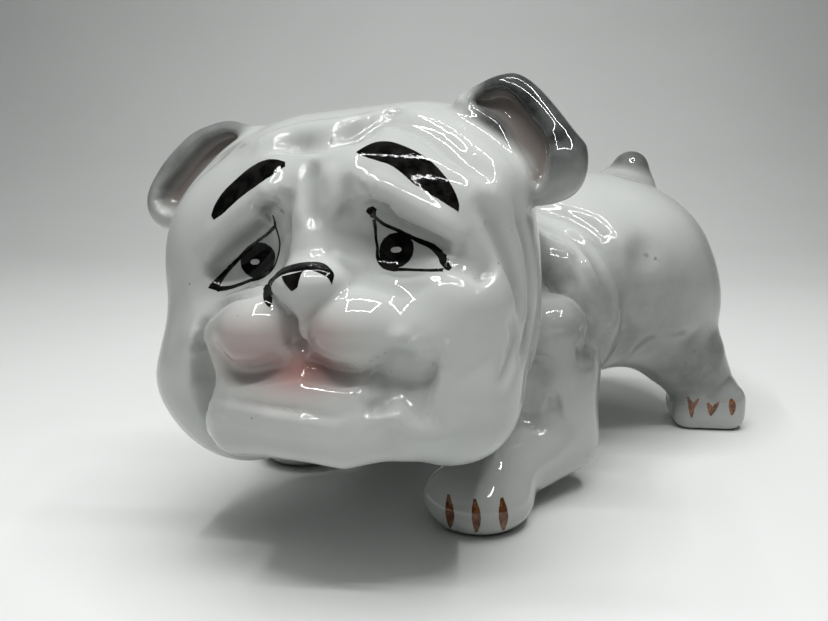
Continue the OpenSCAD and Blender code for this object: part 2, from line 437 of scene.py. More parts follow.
# The ears' outlines and the outlines of their cups, seen from the front
EAR_LEFT = Outline([(23, 37), (28.6, 40.2), (33, 41.4), (36.9, 41.0), (41.9, 36.7), (49, 27.1), (50.4, 23.4),
                    (47.2, 16.6), (41.9, 13.6), (38.4, 15.8), (35.1, 23.2), (28, 30)])
CUP_LEFT = Outline([(27.4, 36.0), (30, 37.9), (34, 38.0), (37.2, 35.2), (40, 31.3), (43.3, 26.4),
                    (43.4, 21.5), (41, 17.6), (38.9, 20), (36.8, 24.4), (33.4, 31.2)])
EAR_RIGHT = Outline([(-24, 34), (-32.7, 38.5), (-39.7, 38.1), (-45.1, 36), (-52, 29.9), (-54.6, 24.2),
                     (-53, 19.0), (-46.5, 15.2), (-42, 16), (-37, 24), (-29, 30)])
CUP_RIGHT = Outline([(-28.5, 34.4), (-33, 35.8), (-39, 34.6), (-45, 29.6), (-50.2, 24.2), (-50, 20.5),
                     (-46, 18.2), (-42.5, 19.8), (-38, 25.5), (-33, 31)])


def ear(p, outline, cup, tip):
    """A folded flap with a cup in its front, its lower end further forward."""
    lean = 0.3
    middle = -2.5 - (37 - p[:, 2]) * lean
    d = plate(p, outline, middle, 3.4, 3.0)
    d = melt(d, blob(p, tip, (4.2, 4.0, 5.0)), 5)
    return carve(d, plate(p, cup, middle - 4.2, 5.4, 2.6), 2.0)


def ear_left(p):
    return within(p, (20, -16, 8), (56, 10, 46), lambda q: ear(q, EAR_LEFT, CUP_LEFT, (46, -8.5, 20.5)))


def ear_right(p):
    return within(p, (-60, -16, 8), (-20, 10, 46),
                  lambda q: ear(q, EAR_RIGHT, CUP_RIGHT, (-49.5, -8.5, 20)))


# ---------- The body ----------

def torso_form(p):
    """The chest, the belly and the rump."""
    d = melt(blob(p, (0, -20, 36), (32, 25, 24)), blob(p, (0, 12, 43.5), (31, 36, 24.5)), 14)
    return melt(d, blob(p, (0, 51, 48.5), (41, 42, 31.5)), 16)


FORE_PAW, HIND_PAW = (33, -39), (34.9, 72.2)  # the middles of the left paws


def foreleg(p, side):
    """The forearm along the floor, the upper arm and the paw."""
    q = p * [side, 1, 1]
    upper_arm = blob(q, (32, -7.5, 30), (10.5, 15, 20))
    d = melt(limb(q, (33.5, -33, 10), (34.5, -6, 13), 8.2, 8.6), upper_arm, 8)
    return melt(d, blob(q, (*FORE_PAW, 6.5), (13.5, 13.5, 8.5), tilt=turn(2, SPLAY)), 4)


def hind_leg(p, side):
    """The thigh, the shank in two strands, and the blunt paw."""
    q = p * [side, 1, 1]
    thigh = blob(q, (27.5, 58.5, 37), (13.5, 22, 18.5))
    d = melt(limb(q, (32, 70, 14), (29.5, 61.5, 23), 8.8, 10.5), thigh, 7)
    d = melt(d, limb(q, (34.5, 74, 11), (33, 66, 22), 8.0, 9.5), 6)
    return melt(d, block((q - [*HIND_PAW, 7.0]) @ turn(2, SPLAY), 0, (11.4, 11.4, 7.8), 5.8), 2.5)


def tail(p):
    return melt(blob(p, (0, 75.5, 75), (9, 9, 6)), blob(p, (0, 78.5, 82), (4.6, 4.6, 3.8)), 7)


def body_form(p):
    """The body without its folds, with the bulge of loose skin behind the shoulders."""
    d = melt(torso_form(p), blob(p, (0, 14, 43.5), (34.5, 15, 30), tilt=turn(0, 26)), 5)
    for side in (1, -1):
        d = melt(d, foreleg(p, side), 5)
        d = melt(d, hind_leg(p, side), 7)
    return melt(d, tail(p), 8)


# As the head's lines, for the left side; each is mirrored to the right
BODY_LINES = [
    # the fold round the shoulder's bulge, and the dimple behind the elbow
    (2.6, 2.4, [(21, -3.5, 61.5), (25, -3.5, 55.5), (29, -5.5, 52.5), (32, -9.5, 44), (31.5, -10, 40.5),
                (40, 5, 41), (40.5, 9.5, 40.5)]),
    (-1.5, 6, [(27.5, 0, 49), (38.5, 11, 47.5), (40, 11.5, 42.5)]),
    (2.2, 2.4, [(41, 12, 39), (40, 7, 37.5), (41.5, 4.5, 38)]),
    # the hollow of the flank, and the hollow over the hind foot
    (4, 4, [(7.5, -19.5, 70), (17, -8.5, 65), (22.5, -3, 59), (25.5, -1.5, 52.5), (28, -0.5, 49)]),
    (3.6, 4, [(32.5, -37.5, 64.5), (32, -32.5, 59), (32.5, -29.5, 53.5), (33.5, -29, 46), (34, -31, 37)]),
    (2.2, 5, [(29.5, -32.5, 30), (37.5, -50, 31), (40.5, -57, 29.5)]),
    # the crease between jowl and arm, and the hollow below the elbow
    (2.4, 2.6, [(36, 19.5, 39.5), (35.5, 19.5, 31), (35, 20, 24), (38.5, 23.5, 18.5)]),
    (1.3, 3, [(36.5, 19, 26.5), (38.5, 17, 26), (40.5, 15.5, 26.5)]),
]
# The grooves between the rolls of loose skin, from near the spine down the left side
ROLL_LINES = [
    (3.4, 2, [(23, -10, 62), (27, -8, 58.5), (30.5, -8.5, 53.5), (33.5, -13, 44), (34.5, -14, 39.5)]),
    (3, 2, [(25.5, -14.5, 60), (29.5, -14, 55), (32, -14.5, 50), (33.5, -15.5, 44), (34, -15, 38)]),
    (4.4, 2.8, [(21.5, -22.5, 65), (25.5, -22, 61.5), (31.5, -24.5, 52), (32, -26, 41),
                (29.5, -28.5, 34.5), (27, -29, 29.5), (22, -32, 23)]),
]


def over_the_back(points):
    """A line down the left side, carried over the spine and down the right."""
    p = np.array(points, float)
    crown = p[:1] * [0, 1, 1] + [0, 5, 6]
    return np.vstack([p[::-1] * [-1, 1, 1], crown, p])


BODY_FOLDS = [Fold(body_form, depth, width, np.array(points) * [side, 1, 1])
              for depth, width, points in BODY_LINES for side in (1, -1)]
BODY_FOLDS += [Fold(body_form, depth, width, over_the_back(points), ends=0.1)
               for depth, width, points in ROLL_LINES]


def body(p):
    d = body_form(p)
    for fold in BODY_FOLDS:
        fold.shape(p, d)
    return d


def figure(p):
    """The whole skin, in world millimetres."""
    h = to_head(p)
    crown = melt(head(h), np.minimum(ear_left(h), ear_right(h)), 4)
    d = melt(crown, body(to_body(p)), 2.5)
    return carve(d, p[:, 2], 1.0)


CASTINGS = {
    "head_casting": lambda p: head_form(to_head(p)),
    "torso_casting": lambda p: torso_form(to_body(p)),
    "ear_left": lambda p: ear_left(to_head(p)),
    "ear_right": lambda p: ear_right(to_head(p)),
    "foreleg_left": lambda p: foreleg(to_body(p), 1),
    "foreleg_right": lambda p: foreleg(to_body(p), -1),
    "hind_leg_left": lambda p: hind_leg(to_body(p), 1),
    "hind_leg_right": lambda p: hind_leg(to_body(p), -1),
    "tail": lambda p: tail(to_body(p)),
}


# ---------- The skin's mesh ----------

def in_batches(work, p, batch=60000):
    """What work gives for all the points, done a batch at a time to save memory."""
    return np.concatenate([work(p[i:i + batch]) for i in range(0, len(p), batch)])


def lattice(field, lo, hi, cell):
    """The field on a regular lattice, worked out only in the blocks of points near its surface."""
    side = 4
    blocks = np.ceil((hi - lo) / cell / side).astype(int) + 1
    index = np.stack(np.meshgrid(*[np.arange(n) for n in blocks], indexing="ij"), -1).reshape(-1, 3)
    coarse = in_batches(field, lo + (index * side + (side - 1) / 2) * cell)
    values = np.where(coarse < 0, -1.0, 1.0).reshape(blocks)
    for axis in range(3):
        values = np.repeat(values, side, axis=axis)
    near = index[np.abs(coarse) < side * cell * 1.25 + 1.5]
    offset = np.stack(np.meshgrid(*[np.arange(side)] * 3, indexing="ij"), -1).reshape(-1, 3)
    points = (near[:, None] * side + offset).reshape(-1, 3)
    values[tuple(points.T)] = in_batches(field, lo + points * cell)
    return values


def net(values, lo, cell):
    """The quads of the surface where a lattice of values changes sign, one vertex to a cell."""
    inside = values < 0
    corners = np.stack(np.meshgrid([0, 1], [0, 1], [0, 1], indexing="ij"), -1).reshape(-1, 3)
    shape = np.array(values.shape) - 1
    count = sum(inside[a:a + shape[0], b:b + shape[1], c:c + shape[2]].astype(np.int8)
                for a, b, c in corners)
    cells = np.argwhere((count > 0) & (count < 8))
    number = np.full(shape, -1)
    number[tuple(cells.T)] = np.arange(len(cells))
    held = np.stack([values[tuple((cells + c).T)] for c in corners], 1)
    total, hits = np.zeros((len(cells), 3)), np.zeros(len(cells))
    for i in range(8):
        for j in range(i + 1, 8):
            if np.abs(corners[i] - corners[j]).sum() != 1:
                continue
            a, b = held[:, i], held[:, j]
            cut = (a < 0) != (b < 0)
            t = np.where(cut, a / np.where(cut, a - b, 1), 0)[:, None]
            total += cut[:, None] * (corners[i] + t * (corners[j] - corners[i]))
            hits += cut
    points = lo + (cells + total / hits[:, None]) * cell
    quads = []
    for axis in range(3):
        step = np.eye(3, dtype=int)
        u, v = step[(axis + 1) % 3], step[(axis + 2) % 3]
        low = np.moveaxis(np.moveaxis(inside, axis, 0)[:-1], 0, axis)
        high = np.moveaxis(np.moveaxis(inside, axis, 0)[1:], 0, axis)
        at = np.argwhere(low != high)
        ring = np.stack([at, at - u, at - u - v, at - v], 1)
        ok = np.all((ring >= 0) & (ring < shape), axis=(1, 2))
        at, ring = at[ok], ring[ok]
        quad = number[tuple(np.moveaxis(ring, -1, 0))]
        out = low[tuple(at.T)]
        quads.append(np.where(out[:, None], quad, quad[:, ::-1]))
    return points, np.vstack(quads)


def mesh_object(name, points, faces, normals=None):
    """A mesh from millimetres in the row frame."""
    mesh = bpy.data.meshes.new(name)
    flat, sizes = faces.ravel(), np.full(len(faces), faces.shape[1])
    mesh.vertices.add(len(points))
    mesh.vertices.foreach_set("co", (np.asarray(points) * MM).astype(np.float32).ravel())
    mesh.loops.add(len(flat))
    mesh.loops.foreach_set("vertex_index", flat.astype(np.int32))
    mesh.polygons.add(len(sizes))
    mesh.polygons.foreach_set("loop_start", np.concatenate([[0], np.cumsum(sizes)[:-1]]).astype(np.int32))
    mesh.update(calc_edges=True)
    mesh.validate()
    mesh.polygons.foreach_set("use_smooth", [True] * len(mesh.polygons))
    if normals is not None:
        mesh.normals_split_custom_set_from_vertices(normals.astype(np.float32).tolist())
    obj = bpy.data.objects.new(name, mesh)
    bpy.context.scene.collection.objects.link(obj)
    return obj


def closed(points, normals, quads, wall):
    """A shell: the quads, the same pushed in by the wall, and a rim along their open edge.

    Gives the numbers of the vertices used, then the shell's points, normals and faces.
    """
    used, local = np.unique(quads, return_inverse=True)
    quads = local.reshape(quads.shape)
    p, n = points[used], normals[used]
    edges = np.vstack([quads[:, [i, (i + 1) % 4]] for i in range(4)])
    count = len(used)
    key = edges[:, 0] * count + edges[:, 1]
    back = edges[:, 1] * count + edges[:, 0]
    rim = edges[~np.isin(key, back)]
    rim_quads = np.stack([rim[:, 1], rim[:, 0], rim[:, 0] + count, rim[:, 1] + count], 1)
    return (used, np.vstack([p, p - n * wall]), np.vstack([n, -n]),
            np.vstack([quads, quads[:, ::-1] + count, rim_quads]))


# ---------- Materials ----------

def node(tree, kind, **values):
    made = tree.nodes.new(kind)
    for name, value in values.items():
        if hasattr(made, name):
            setattr(made, name, value)
        else:
            made.inputs[name.replace("_", " ")].default_value = value
    return made


def blank(name):
    made = bpy.data.materials.new(name)
    made.use_nodes = True
    tree = made.node_tree
    return made, tree, tree.nodes["Principled BSDF"]


def noise(tree, scale, detail=3.0, roughness=0.5):
    """Noise in the row frame, scale in features a metre."""
    place = node(tree, "ShaderNodeTexCoord")
    made = node(tree, "ShaderNodeTexNoise", Scale=scale, Detail=detail, Roughness=roughness)
    tree.links.new(place.outputs["Object"], made.inputs["Vector"])
    return made.outputs["Fac"]


def remap(tree, value, a, b, c, d):
    made = node(tree, "ShaderNodeMapRange")
    for i, v in zip((1, 2, 3, 4), (a, b, c, d)):
        made.inputs[i].default_value = v
    tree.links.new(value, made.inputs[0])
    return made.outputs[0]


def mixed(tree, factor, a, b, mode="MIX"):
    made = tree.nodes.new("ShaderNodeMix")
    made.data_type = "RGBA"
    made.blend_type = mode
    for socket, value in ((made.inputs[0], factor), (made.inputs[6], a), (made.inputs[7], b)):
        if isinstance(value, bpy.types.NodeSocket):
            tree.links.new(value, socket)
        elif isinstance(value, (int, float)):
            socket.default_value = value
        else:
            socket.default_value = (*value, 1.0)
    return made.outputs[2]


def times(tree, a, b):
    made = node(tree, "ShaderNodeMath", operation="MULTIPLY")
    for socket, value in zip(made.inputs, (a, b)):
        if isinstance(value, bpy.types.NodeSocket):
            tree.links.new(value, socket)
        else:
            socket.default_value = value
    return made.outputs[0]


def painted(tree, name):
    return node(tree, "ShaderNodeAttribute", attribute_name=name).outputs["Fac"]


def bump(tree, shader, height, strength, distance):
    made = node(tree, "ShaderNodeBump", Strength=strength, Distance=distance)
    tree.links.new(height, made.inputs["Height"])
    tree.links.new(made.outputs["Normal"], shader.inputs["Normal"])


def porcelain():
    """White glaze over porcelain: airbrushed grey on the ears and tail, painted shade in the creases, down
    the body's sides and in the neck, warm ear linings, a pink blush and kiln specks.
    """
    made, tree, shader = blank("porcelain")
    clouds = remap(tree, noise(tree, 45, 4), 0.35, 0.65, 0, 1)
    base = mixed(tree, clouds, (0.50, 0.515, 0.50), (0.54, 0.555, 0.54))
    # painted shade: the glaze is darkened towards grey in the creases
    base = mixed(tree, times(tree, painted(tree, "crease_shade"), 0.5), base, (0.17, 0.18, 0.17))
    base = mixed(tree, painted(tree, "blush"), base, (0.36, 0.18, 0.16))
    base = mixed(tree, painted(tree, "lining"), base, (0.28, 0.245, 0.23))
    cloudy = remap(tree, noise(tree, 160, 5, 0.6), 0.3, 0.7, 0.85, 1.1)
    # grey airbrushed paint on the ears and tail, and painted shade down the body's sides and in the neck,
    # towards near black
    base = mixed(tree, times(tree, painted(tree, "airbrush_and_shade"), cloudy), base, (0.028, 0.030, 0.029))
    specks = remap(tree, noise(tree, 520, 1), 0.795, 0.83, 0, 0.75)
    base = mixed(tree, specks, base, (0.10, 0.09, 0.08))
    tree.links.new(base, shader.inputs["Base Color"])
    tree.links.new(remap(tree, noise(tree, 90, 3), 0.3, 0.7, 0.02, 0.045), shader.inputs["Roughness"])
    shader.inputs["IOR"].default_value = 1.52
    bump(tree, shader, noise(tree, 260, 2), 0.06, 0.0003)
    return made


def enamel(name, thin, thick, streak, ior=1.55):
    """A brushed, fired enamel, thinner and paler in streaks."""
    made, tree, shader = blank(name)
    worn = remap(tree, noise(tree, streak, 5, 0.65), 0.42, 0.68, 0, 1)
    tree.links.new(mixed(tree, worn, thick, thin), shader.inputs["Base Color"])
    tree.links.new(remap(tree, noise(tree, 400, 3), 0.3, 0.7, 0.03, 0.08), shader.inputs["Roughness"])
    shader.inputs["IOR"].default_value = ior
    bump(tree, shader, noise(tree, 900, 3), 0.2, 0.0002)
    return made


# ---------- The castings ----------

def spot(p, at, reach, soft=2.0):
    """1 near a point, falling to 0 at reach."""
    return np.exp(-(size((p - np.array(at)) / np.array(reach))) ** soft)


def ear_tints(h, facing):
    """The grey airbrushed paint on the ears, paler at their tips, and the warm lining of their cups."""
    # the ears' part of the mask that also carries painted shade on the body; on the ears it is grey paint
    airbrush_and_shade, lining = np.zeros(len(h)), np.zeros(len(h))
    for form, cup, tip, depth in ((ear_left, CUP_LEFT, (46, -8, 17), 1.0),
                                  (ear_right, CUP_RIGHT, (-50, -9, 17), 0.65)):
        on_ear = np.clip(1.5 - form(h), 0, 1)
        in_cup = np.clip(-cup.distance(h[:, [0, 2]]) / 1.4 + 0.2, 0, 1) * (facing > 0)
        upper = np.clip((h[:, 2] - 15) / 8, 0, 1)
        outer = np.clip((np.abs(h[:, 0]) - 25) / 5, 0, 1)
        shade = depth * on_ear * (0.55 + 0.45 * upper) * (1 - 0.65 * spot(h, tip, (8, 7, 6))) * outer
        airbrush_and_shade = np.maximum(airbrush_and_shade, shade * (1 - 0.85 * in_cup))
        lining = np.maximum(lining, on_ear * in_cup)
    return airbrush_and_shade, lining


def body_grey_and_shade(h, b):
    """The grey paint on the tail, painted shade down the body's sides, and painted shade where the head meets
    the body.
    """
    tail_grey = 0.9 * spot(b, (0, 78, 82), (12, 10, 8), 3)
    tail_grey = np.maximum(tail_grey, 0.35 * spot(b, (0, 76, 76), (34, 18, 16)))
    sides = np.abs(b) * [1, 0, 0] + b * [0, 1, 1]
    side_shade = np.zeros(len(b))
    # painted shade: darker on the flank, hind leg, rump, back of the thigh, neck and shoulder
    for depth, at, reach, soft in (
        (0.40, (36, 22, 40), (12, 46, 26), 4),  # the flank
        (0.68, (38, 60, 20), (20, 24, 17), 3),  # the hind leg
        (0.75, (24, 90, 50), (28, 14, 30), 3),  # the rump
        (0.50, (40, 76, 50), (16, 18, 30), 3),  # the back of the thigh
        (0.80, (22, -2, 54), (14, 10, 24), 3),  # the neck
        (0.50, (38, -4, 40), (10, 12, 16), 3),  # the shoulder
    ):
        side_shade = np.maximum(side_shade, depth * spot(sides, at, reach, soft))
    to_skull, to_torso = head_form(h), body_form(b)
    side_shade *= np.clip((to_skull + 2) / 3, 0, 1)
    # painted shade in the neck, darkest where the head meets the body
    head_join_shade = 0.75 * np.exp(-np.maximum(np.maximum(to_skull, to_torso) - 0.5, 0) / 6)
    return np.maximum(tail_grey, np.maximum(side_shade, head_join_shade))


def blush_tint(h):
    """The pink on the lip's middle and on both pads."""
    blush = 0.95 * spot(h, (-2, -40, -13), (9, 10, 5))
    blush = np.maximum(blush, 0.55 * spot(h, (4, -44, -7), (7, 9, 5)))
    return np.maximum(blush, 0.6 * spot(h, (-11, -43, -8.5), (10.5, 9, 6)))


def paint(points, normals, curve):
    """Where the glaze is tinted, and where painted shade darkens it: one value for each vertex and each mask.
    """
    h, b = to_head(points), to_body(points)
    airbrush_and_shade, lining = ear_tints(h, -(normals @ HEAD_AXES)[:, 1])
    # painted shade in the creases, from how hollow the skin is, kept off the eyes
    crease_shade = np.clip(curve * 0.9, 0, 1)
    for eye_x in (-18.5, 18.0):
        crease_shade *= 1 - 0.9 * spot(h, (eye_x, -28, 7), (9, 9, 5), 3)
    return {"airbrush_and_shade": np.maximum(airbrush_and_shade, body_grey_and_shade(h, b)), "lining": lining,
            "blush": blush_tint(h), "crease_shade": crease_shade}


def make_castings(glaze):
    lo, hi = np.array(CAD_BOUNDS[0]) / MM - 4, np.array(CAD_BOUNDS[1]) / MM + 4
    lo[2] = -1.6
    points, quads = net(lattice(figure, lo, hi, CELL), lo, CELL)
    points = in_batches(lambda p: settle(figure, p, 2, CELL * 0.7), points)
    normals = unit(in_batches(lambda p: gradient(figure, p), points))
    curve = hollow(points, normals)
    masks = paint(points, normals, curve)
    centre = points[quads].mean(1)
    owner = np.argmin(np.stack([in_batches(f, centre) for f in CASTINGS.values()]), 0)
    for i, name in enumerate(CASTINGS):
        used, p, n, faces = closed(points, normals, quads[owner == i], WALL)
        piece = mesh_object(name + "_skin", p, faces, n)
        for mask, value in masks.items():
            layer = piece.data.attributes.new(mask, "FLOAT", "POINT")
            layer.data.foreach_set("value", np.tile(value[used], 2).astype(np.float32))
        piece.data.materials.append(glaze)
        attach(piece, "root")
        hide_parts(name)


def hollow(points, normals, reach=2.4):
    """How hollow the skin is at each vertex: above 0 in creases."""
    side = unit(np.cross(normals, [0.3, 0.5, 0.8]))
    other = np.cross(normals, side)
    total = np.zeros(len(points))
    for i in range(6):
        a = math.pi * i / 3
        total += in_batches(figure, points + (side * math.cos(a) + other * math.sin(a)) * reach)
    return -total / 6


# ---------- Enamel marks ----------

def march(p, to_world):
    """Sends points straight back, along their own frame's y, until they touch the skin."""
    for _ in range(60):
        d = figure(to_world(p))
        p = p + np.array([0.0, 1.0, 0.0]) * (d * 0.8)[:, None]
        if np.abs(d).max() < 0.002:
            break
    return to_world(p)


def film(name, patches, cad_node, material, place=from_head, reach=62.0, proud=FILM):
    """One enamel mark: each patch is a grid of (x, z), sent back onto the skin from reach in front."""
    points, faces, normals = [], [], []
    base = 0
    for grid in patches:
        rows, cols = grid.shape[:2]
        flat = grid.reshape(-1, 2)
        start = np.stack([flat[:, 0], np.full(len(flat), -reach), flat[:, 1]], 1)
        p = march(start, place)
        n = unit(gradient(figure, p))
        across = np.abs(np.linspace(-1, 1, rows))[:, None] * np.ones(cols)
        lift = (proud * (1 - across ** 6) - 0.01).ravel()
        top, under = p + n * lift[:, None], p - n * 0.25
        count = rows * cols
        k = np.arange(count).reshape(rows, cols)
        a, b, c, d = k[:-1, :-1], k[:-1, 1:], k[1:, 1:], k[1:, :-1]
        up = np.stack([a, b, c, d], -1).reshape(-1, 4)
        ring = np.concatenate([k[0, :-1], k[:-1, -1], k[-1, :0:-1], k[:0:-1, 0]])
        wall = np.stack([ring, np.roll(ring, -1), np.roll(ring, -1) + count, ring + count], 1)
        i, j = rows // 2, cols // 2
        outward = np.cross(p[k[i, j]] - p[k[i, j - 1]], p[k[i, j]] - p[k[i - 1, j]]) @ n[k[i, j]]
        f = np.vstack([up, up[:, ::-1] + count, wall[:, ::-1]])
        if outward < 0:
            f = f[:, ::-1]
        points.append(np.vstack([top, under]))
        normals.append(np.vstack([n, -n]))
        faces.append(f + base)
        base += 2 * count
    piece = mesh_object(name, np.vstack(points), np.vstack(faces), np.vstack(normals))
    piece.data.materials.append(material)
    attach(piece, "root")
    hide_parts(cad_node)
    return piece


def resampled(points, count):
    """The smooth curve through the points, with count evenly spaced points."""
    line = spline(points, 0.3)
    gap = np.concatenate([[0], np.cumsum(size(np.diff(line, axis=0)))])
    at = np.linspace(0, gap[-1], count)
    return np.stack([np.interp(at, gap, line[:, i]) for i in range(line.shape[1])], 1)


def band(upper, lower, cols=48, rows=9):
    """The patch between two edges that run the same way."""
    a, b = resampled(upper, cols), resampled(lower, cols)
    t = np.linspace(0, 1, rows)[:, None, None]
    return a * (1 - t) + b * t


def stroke(points, widths, cols=48, rows=5):
    """A brush stroke along a line, with a width at each of its points."""
    line = resampled(points, cols)
    width = np.interp(np.linspace(0, 1, cols), np.linspace(0, 1, len(widths)), widths)
    along = unit(np.gradient(line, axis=0))
    normal = np.stack([-along[:, 1], along[:, 0]], 1) * width[:, None] / 2
    t = np.linspace(-1, 1, rows)[:, None, None]
    return line + normal * t


def disc(at, rx, rz, rows=9, cols=33):
    """A round patch as a grid: rows of chords."""
    z = np.sin(np.linspace(-1, 1, rows) * math.pi / 2 * 0.999)
    half = np.sqrt(np.maximum(1 - z * z, 1e-4))
    x = np.linspace(-1, 1, cols)
    return np.stack([at[0] + rx * half[:, None] * x, at[1] + rz * z[:, None] + 0 * x], -1)


# The outlines of the marks on the face, as x and z in the head frame; the round ones have a middle and
# two radii
MARKS = {
    "brow_left_top": [(9.0, 28.0), (10.4, 29.3), (12.0, 29.8), (15.0, 29.3), (19.5, 27.3), (23.2, 24.9),
                      (26.4, 21.7), (28.3, 18.8), (29.2, 16.2), (29.1, 14.7)],
    "brow_left_foot": [(9.0, 28.0), (10.8, 27.1), (13.5, 25.9), (15.7, 25.0), (18.0, 23.4), (20.4, 21.2),
                       (23.1, 19.1), (25.8, 17.2), (27.9, 15.6), (29.1, 14.7)],
    "brow_right_top": [(-7.0, 27.6), (-9.3, 28.3), (-12.2, 28.4), (-15.8, 27.3), (-19.1, 25.1),
                       (-22.2, 22.7), (-24.2, 20.1), (-24.9, 18.1)],
    "brow_right_foot": [(-6.6, 26.6), (-7.2, 26.3), (-9.0, 25.0), (-12.0, 23.3), (-16.7, 21.0),
                        (-21.0, 18.3), (-23.7, 17.1)],
    "eye_left_hook": [(11.8, 16.8), (11.0, 16.2), (10.9, 14.8)],
    "eye_left_top": [(11.0, 15.0), (12.5, 13.3), (14.8, 12.0), (17.6, 10.4), (19.8, 9.3), (22.2, 8.4),
                     (24.3, 7.0), (25.7, 5.7), (26.4, 4.6), (27.2, 3.9)],
    "eye_left_inner": [(10.9, 14.4), (10.9, 12.4), (10.8, 10.4), (11.0, 8.6), (11.0, 7.6), (11.3, 6.5),
                       (12.1, 5.4), (13.2, 4.6), (14.9, 4.2)],
    "eye_left_foot": [(14.9, 4.2), (17.0, 4.1), (19.9, 4.0), (23.4, 4.0), (26.0, 4.0)],
    "eye_right_hook": [(-11.1, 17.0), (-11.1, 15.5), (-11.3, 14.4)],
    "eye_right_top": [(-11.2, 14.6), (-13.8, 13.2), (-16.3, 12.0), (-19.7, 10.2), (-22.0, 8.3),
                      (-24.5, 6.2), (-26.3, 4.1), (-27.1, 2.2)],
    "eye_right_inner": [(-11.1, 14.4), (-10.7, 12.9), (-10.5, 11.2), (-10.8, 9.5), (-11.3, 7.9),
                        (-11.8, 6.4), (-13.4, 4.9), (-15.4, 4.1)],
    "eye_right_foot": [(-15.4, 4.1), (-17.8, 3.7), (-20.8, 2.9), (-23.5, 2.3), (-26.1, 2.2)],
    "nose_top": [(-7.3, -0.3), (-8.2, 0.3), (-9.7, 1.7), (-11.1, 3.1), (-11.2, 4.4), (-6.9, 6.5),
                 (-1.5, 7.8), (1.7, 8.0), (4.0, 7.6), (6.0, 6.5), (7.1, 5.2), (7.0, 3.6)],
    "nose_foot": [(-7.3, -0.3), (-7.0, 0.5), (-7.0, 1.4), (-6.4, 3.3), (-5.3, 4.7), (-3.4, 5.9),
                  (-1.1, 6.5), (1.7, 6.7), (2.9, 6.7), (4.6, 6.1), (6.2, 5.1), (6.9, 3.9)],
    "iris_left": ((14.9, 7.9), 3.59, 3.49),
    "iris_right": ((-16.9, 7.6), 4.91, 3.68),
    "light_left": ((14.7, 7.9), 1.15, 0.63),
    "light_right": ((-17.9, 7.2), 1.19, 0.63),
    "nose_drop": ([(-2.9, 5.9), (-0.6, 6.3), (1.7, 6.7)], [(-0.6, 3.6), (-0.2, 3.1), (1.1, 3.8)]),
}


def make_marks(black, white):
    m = MARKS
    for side in ("left", "right"):
        brow = band(m["brow_%s_top" % side], m["brow_%s_foot" % side])
        film("brow_%s_enamel" % side, [brow], "brow_" + side, black)
    film("eye_line_left_enamel", [
        stroke(m["eye_left_hook"], [1.0, 1.7, 0.9]),
        stroke(m["eye_left_top"], [0.8, 0.75, 0.8, 0.9, 1.0, 1.15, 1.3, 1.5, 1.6, 0.5]),
        stroke(m["eye_left_inner"], [0.7, 0.6, 0.55, 0.6, 0.7, 0.7, 0.7]),
        stroke(m["eye_left_foot"], [0.7, 0.55, 0.5, 0.5, 0.6]),
    ], "eye_line_left", black)
    film("eye_line_right_enamel", [
        stroke(m["eye_right_hook"], [0.5, 0.9, 1.0]),
        stroke(m["eye_right_top"], [0.9, 0.8, 0.8, 0.85, 0.95, 1.1, 1.5, 2.4]),
        stroke(m["eye_right_inner"], [0.6, 0.6, 0.6, 0.7, 0.8, 0.8, 0.8]),
        stroke(m["eye_right_foot"], [0.8, 0.8, 0.8, 0.9, 1.2]),
    ], "eye_line_right", black)
    for side in ("left", "right"):
        film("iris_%s_enamel" % side, [disc(*m["iris_" + side])], "iris_" + side, black)
    nose = [band(m["nose_top"], m["nose_foot"], 72), band(*m["nose_drop"], 16)]
    film("nose_rim_enamel", nose, "nose_enamel", black)
    for side in ("left", "right"):
        film("catchlight_%s_enamel" % side, [disc(*m["light_" + side], 7, 17)], "catchlight_" + side,
             white, proud=2 * FILM)


def claw(x, high, low, side, width=2.2):
    """One brush stroke down the front of a toe."""
    return stroke([(x - 0.5 * side, high), (x, (high + low) / 2), (x, low)],
                  [0.3 * width, 0.85 * width, width, 0.75 * width, 0.3 * width], 24)


def make_claws(brown):
    """Three strokes on each paw; on the left hind paw one is forked and one is a wedge."""
    for leg, at, side in (("foreleg_left", FORE_PAW, 1), ("foreleg_right", FORE_PAW, -1),
                          ("hind_leg_left", HIND_PAW, 1), ("hind_leg_right", HIND_PAW, -1)):
        axes = turn(2, SPLAY * side)
        origin = BODY + [at[0] * side, at[1], 0]

        def place(p, axes=axes, origin=origin):
            return p @ axes.T + origin

        if at == FORE_PAW:
            strokes = [claw(x, 10.5, 2.4, side) for x in (-6.2, 0.0, 6.2)]
        elif side < 0:
            strokes = [claw(x, 9.2, 3.6, side, 1.9) for x in (-6.2, 0.0, 6.2)]
        else:
            strokes = [
                stroke([(-7.6, 11.2), (-6.4, 8.6), (-6.0, 4.6)], [0.7, 1.3, 1.9, 1.5, 0.5], 24),
                stroke([(-4.2, 10.8), (-5.3, 9.0), (-6.1, 7.2)], [0.6, 1.3, 1.2], 16),
                stroke([(-1.5, 9.6), (-0.6, 8.0), (-0.1, 5.4)], [0.6, 1.6, 1.7, 0.7], 16),
                stroke([(2.0, 9.8), (0.9, 8.2), (0.1, 6.0)], [0.5, 1.5, 1.5, 0.7], 16),
                claw(6.2, 11.0, 5.8, side, 2.4),
            ]
        film("claws_" + leg + "_enamel", strokes, "claws_" + leg, brown, place, 26.0)


# ---------- The studio ----------

def heading():
    """The level directions ahead of the camera and to its right, as x and y."""
    azimuth = math.radians(CAMERA_TURN)
    return (-math.sin(azimuth), math.cos(azimuth)), (math.cos(azimuth), math.sin(azimuth))


